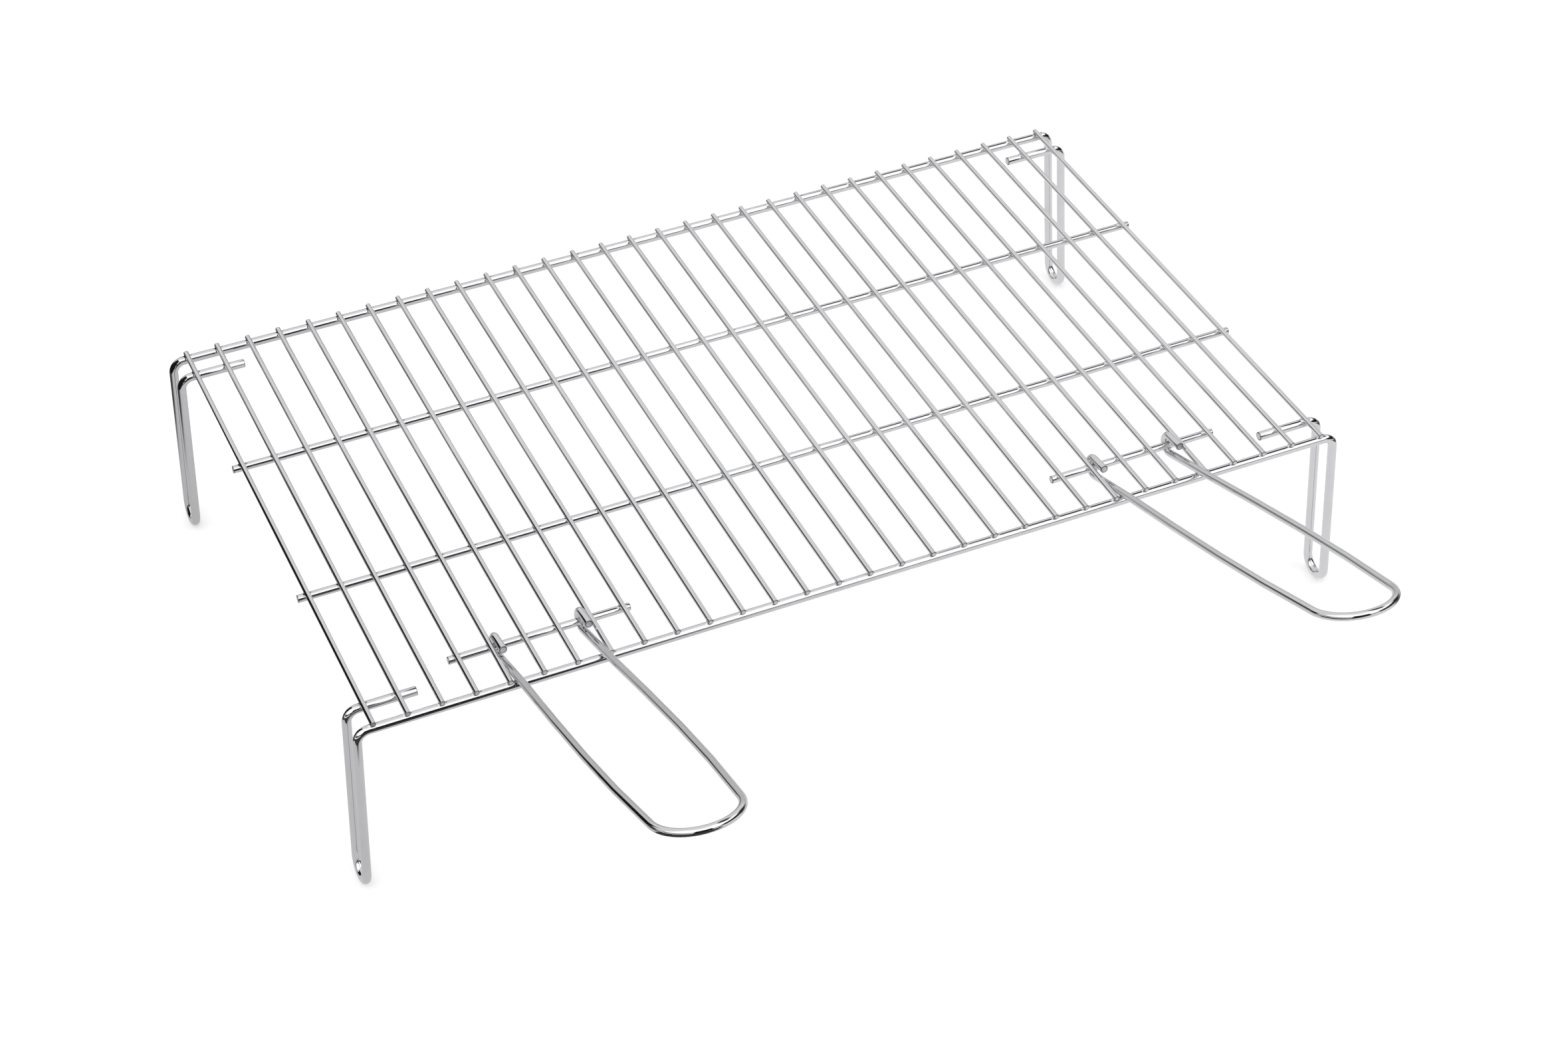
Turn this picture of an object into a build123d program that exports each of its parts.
from build123d import *
import os
from math import asin, atan, atan2, cos, degrees, hypot, radians, sin, tan

# A free-standing wire grate for a barbecue, with two loop handles that swing on short bars.
# Millimetres. +Z is up, +X runs along the grate's long side and -Y is the front, where the handles are.
# The origin is on the floor, under the middle of the cooking surface.

# ---- cooking rods: the straight wires that the food lies on, front to back ----
rod_count = 31
rod_pitch = 21.0
rod_diameter = 3.5
rod_length = 393.0
cooking_height = 132.2  # floor to the top of the rods

# ---- welds: a rod and the wire below it melt into each other by this much ----
weld_sink = 0.5

# ---- frame wires: one bent wire at the front and one at the rear, legs included ----
frame_diameter = 5.8
rod_end_past_frame = 2.0  # from a frame wire's centre line to the rods' cut ends
leg_top_past_rod = 10.0  # from the outer rod's centre line to where leg and frame lines meet
leg_spread = 2.8  # degrees that each leg leans outwards
leg_width = 19.6  # between the centre lines of a leg's two wires
leg_corner_radius = 8.0  # centre line of the bend from frame into leg
tail_rods = 2  # rods that each free end of a frame wire is welded under
tail_past_rod = 12.0  # from the last of those rods to the free end

# ---- stringers: the two long cross wires between the frame wires ----
stringer_diameter = 5.0
stringer_spacing = 136.8
stringer_past_rod = 6.0  # from the outer rod's centre line to the cut end

# ---- handle bars: the short cross wires that the handles hook onto ----
bar_diameter = 5.0
bar_inset = 35.8  # from the front frame wire's centre line
bar_first_rod = 4  # counted from the grate's own side
bar_rods = 6
bar_past_rod = 5.0

# ---- handles: each one a wire bent into a long loop, with a hook at both ends ----
handle_diameter = 5.0
hook_clearance = 1.0  # between the bar and the hook round it
hook_close = 12.5  # degrees that the hook closes past a half turn
hook_tip = 13.5  # straight end of the hook, measured from the bar
arm_side_clearance = 0.3  # between an arm and the rod beside it
arm_rest_clearance = 0.3  # between an arm and the front frame wire below it
arm_past_rods = 3.0  # straight stretch in front of the rods' ends
arm_widest_at = 160.0  # from the bar to where the loop is widest
arm_length = 257.5  # from the bar to the grip's corners
arm_bulge = 1.5  # how far an arm bows out to its widest
arm_narrowing = 3.0  # how far it comes back in before the corner
flare_share = 0.06  # share of the bow that curves the other way, so that it starts smoothly
grip_corner_radius = 24.0
grip_end_angle = 30.0  # degrees that the grip's flatter end turns on each side of its middle

# ---- heights and places that follow from the sizes above ----
rod_z = cooking_height - rod_diameter / 2
outer_rod_x = (rod_count - 1) / 2 * rod_pitch
frame_y = rod_length / 2 - rod_end_past_frame
bar_y = -(frame_y - bar_inset)


def height_under_rods(wire_diameter):
    """Centre height of a wire that is welded under the rods."""
    return rod_z - rod_diameter / 2 - wire_diameter / 2 + weld_sink


frame_z = height_under_rods(frame_diameter)
stringer_z = height_under_rods(stringer_diameter)
bar_z = height_under_rods(bar_diameter)


class BentWire:
    """A round wire followed from its cut end: fed straight, bent about an axis, and so on."""

    def __init__(self, start, heading):
        self.tip = Vector(start)
        self.heading = Vector(heading).normalized()
        self.edges = []

    def feed(self, length):
        end = self.tip + self.heading * length
        self.edges.append(Edge.make_line(self.tip, end))
        self.tip = end

    def bend(self, radius, angle, axis):
        """Turns the wire through angle degrees about axis, on a centre line of that radius."""
        turn = Vector(axis).normalized()
        hub = self.tip + turn.cross(self.heading) * radius
        spoke = self.tip - hub
        origin_axis = Axis((0, 0, 0), turn)
        middle = hub + spoke.rotate(origin_axis, angle / 2)
        end = hub + spoke.rotate(origin_axis, angle)
        self.edges.append(Edge.make_three_point_arc(self.tip, middle, end))
        self.heading = self.heading.rotate(origin_axis, angle)
        self.tip = end


def round_wire(edges, diameter):
    """The solid of a round wire along edges that meet end to end."""
    path = Wire(edges)
    section = Plane(origin=path @ 0, z_dir=path % 0) * Circle(diameter / 2)
    return sweep(section, path=path)


def straight_wire(start, end, diameter):
    return round_wire([Edge.make_line(Vector(start), Vector(end))], diameter)


def rod_x(number):
    """Centre of a rod, counted from 1 at the left."""
    return (number - 1) * rod_pitch - outer_rod_x


def bar_centre_x(side):
    """Middle of a handle bar: side is -1 for the left one and 1 for the right one."""
    last_rod = bar_first_rod + bar_rods - 1
    return -side * (rod_x(bar_first_rod) + rod_x(last_rod)) / 2


def frame_wire(side):
    """Frame wire with its two legs: side is -1 for the front one and 1 for the rear one."""
    tail_y = side * (frame_y - leg_width)
    tail_x = outer_rod_x - (tail_rods - 1) * rod_pitch - tail_past_rod
    corner_angle = 90 - leg_spread
    corner_x = outer_rod_x + leg_top_past_rod - leg_corner_radius * tan(radians(corner_angle / 2))
    wire = BentWire((-tail_x, tail_y, frame_z), (-1, 0, 0))

    def leg(down_axis, outward, up_axis):
        """Down from the frame, round the foot and back up."""
        wire.bend(leg_corner_radius, corner_angle, down_axis)
        foot_depth = frame_diameter / 2 + leg_width / 2 * cos(radians(leg_spread))
        straight = (wire.tip.Z - foot_depth) / cos(radians(leg_spread))
        wire.feed(straight)
        wire.bend(leg_width / 2, 180, wire.heading.cross(Vector(0, outward, 0)))
        wire.feed(straight)
        wire.bend(leg_corner_radius, corner_angle, up_axis)

    wire.feed(corner_x - tail_x)
    leg((0, -1, 0), side, (0, 1, 0))
    wire.feed(2 * corner_x)
    leg((0, 1, 0), -side, (0, -1, 0))
    wire.feed(corner_x - tail_x)
    return round_wire(wire.edges, frame_diameter)


def stringer(side):
    """Long cross wire: side is -1 for the front one and 1 for the rear one."""
    half_length = outer_rod_x + stringer_past_rod
    y = side * stringer_spacing / 2
    return straight_wire((-half_length, y, stringer_z), (half_length, y, stringer_z), stringer_diameter)


def handle_bar(side):
    half_length = (bar_rods - 1) / 2 * rod_pitch + bar_past_rod
    middle = bar_centre_x(side)
    return straight_wire(
        (middle - half_length, bar_y, bar_z), (middle + half_length, bar_y, bar_z), bar_diameter
    )


def rod(number):
    """Cooking rod, hollowed below where it is welded onto each wire that it crosses."""
    x = rod_x(number)
    solid = straight_wire((x, -rod_length / 2, rod_z), (x, rod_length / 2, rod_z), rod_diameter)
    from_side = min(number, rod_count + 1 - number)
    seats = [(side * frame_y, frame_z, frame_diameter) for side in (-1, 1)]
    seats += [(side * stringer_spacing / 2, stringer_z, stringer_diameter) for side in (-1, 1)]
    if from_side <= tail_rods:
        seats += [(side * (frame_y - leg_width), frame_z, frame_diameter) for side in (-1, 1)]
    if bar_first_rod <= from_side < bar_first_rod + bar_rods:
        seats.append((bar_y, bar_z, bar_diameter))
    for y, z, diameter in seats:
        solid -= straight_wire((x - rod_pitch / 2, y, z), (x + rod_pitch / 2, y, z), diameter)
    return solid


def handle_rest_angle(hook_radius):
    """Degrees that the arms rise towards the front when they lie on the front frame wire."""
    drop = frame_z - bar_z
    over_frame = (frame_diameter + handle_diameter) / 2 + arm_rest_clearance
    return degrees(atan2(drop, bar_inset) + asin((hook_radius + over_frame) / hypot(bar_inset, drop)))


def handle(side):
    """Loop handle, from the middle of its grip to its hooks: side is -1 for the left one."""
    hook_radius = (bar_diameter + handle_diameter) / 2 + hook_clearance
    rest_angle = handle_rest_angle(hook_radius)

    # Each arm runs just inside the rod that is one pitch in from the bar's end.
    rods_between_arms = bar_rods - 3
    arm_x = rods_between_arms * rod_pitch / 2 - (rod_diameter + handle_diameter) / 2 - arm_side_clearance
    straight = (bar_inset + rod_end_past_frame) / cos(radians(rest_angle)) + arm_past_rods

    # The arm bows out to its widest and back in, on arcs that meet in one direction.
    bow_out = arm_widest_at - straight
    bow_out_angle = 2 * atan(arm_bulge / bow_out)
    bow_out_radius = bow_out / sin(bow_out_angle)
    bow_in = arm_length - arm_widest_at
    bow_in_angle = 2 * atan(arm_narrowing / bow_in)
    bow_in_radius = bow_in / sin(bow_in_angle)

    # The flatter arc at the grip's end is as large as the width between the corner arcs needs.
    corner_x = arm_x + arm_bulge - arm_narrowing - grip_corner_radius * cos(bow_in_angle)
    end_angle = radians(grip_end_angle)
    grip_end_radius = grip_corner_radius + corner_x / sin(end_angle)
    corner_angle = radians(90) - bow_in_angle - end_angle
    grip_depth = (
        grip_end_radius * (1 - cos(end_angle))
        + grip_corner_radius * (cos(end_angle) - sin(bow_in_angle))
    )

    # Drawn level, hooked round the bar, with the arms pointing forwards.
    arm_z = bar_z - hook_radius
    up, down, across = (0, 0, 1), (0, 0, -1), (1, 0, 0)
    half = BentWire((0, bar_y - arm_length - grip_depth, arm_z), across)
    half.bend(grip_end_radius, grip_end_angle, up)
    half.bend(grip_corner_radius, degrees(corner_angle), up)
    half.bend(bow_in_radius, degrees(bow_in_angle), up)
    half.bend(bow_out_radius * (1 - flare_share), degrees(bow_out_angle), up)
    half.bend(bow_out_radius * flare_share, degrees(bow_out_angle), down)
    half.feed(straight)
    half.bend(hook_radius, 180 + hook_close, across)
    half.feed(hook_tip)

    other_half = [edge.mirror(Plane.YZ) for edge in half.edges]
    level = round_wire(other_half[::-1] + half.edges, handle_diameter)
    swung = level.rotate(Axis((0, bar_y, bar_z), (-1, 0, 0)), rest_angle)
    return Pos(bar_centre_x(side), 0, 0) * swung


os.makedirs("parts", exist_ok=True)
nodes = {f"rod_{number:02d}": rod(number) for number in range(1, rod_count + 1)}
nodes["front_frame_wire"] = frame_wire(-1)
nodes["rear_frame_wire"] = frame_wire(1)
nodes["front_stringer"] = stringer(-1)
nodes["rear_stringer"] = stringer(1)
nodes["left_handle_bar"] = handle_bar(-1)
nodes["right_handle_bar"] = handle_bar(1)
nodes["left_handle"] = handle(-1)
nodes["right_handle"] = handle(1)
for name, solid in nodes.items():
    export_step(solid, f"parts/{name}.step")
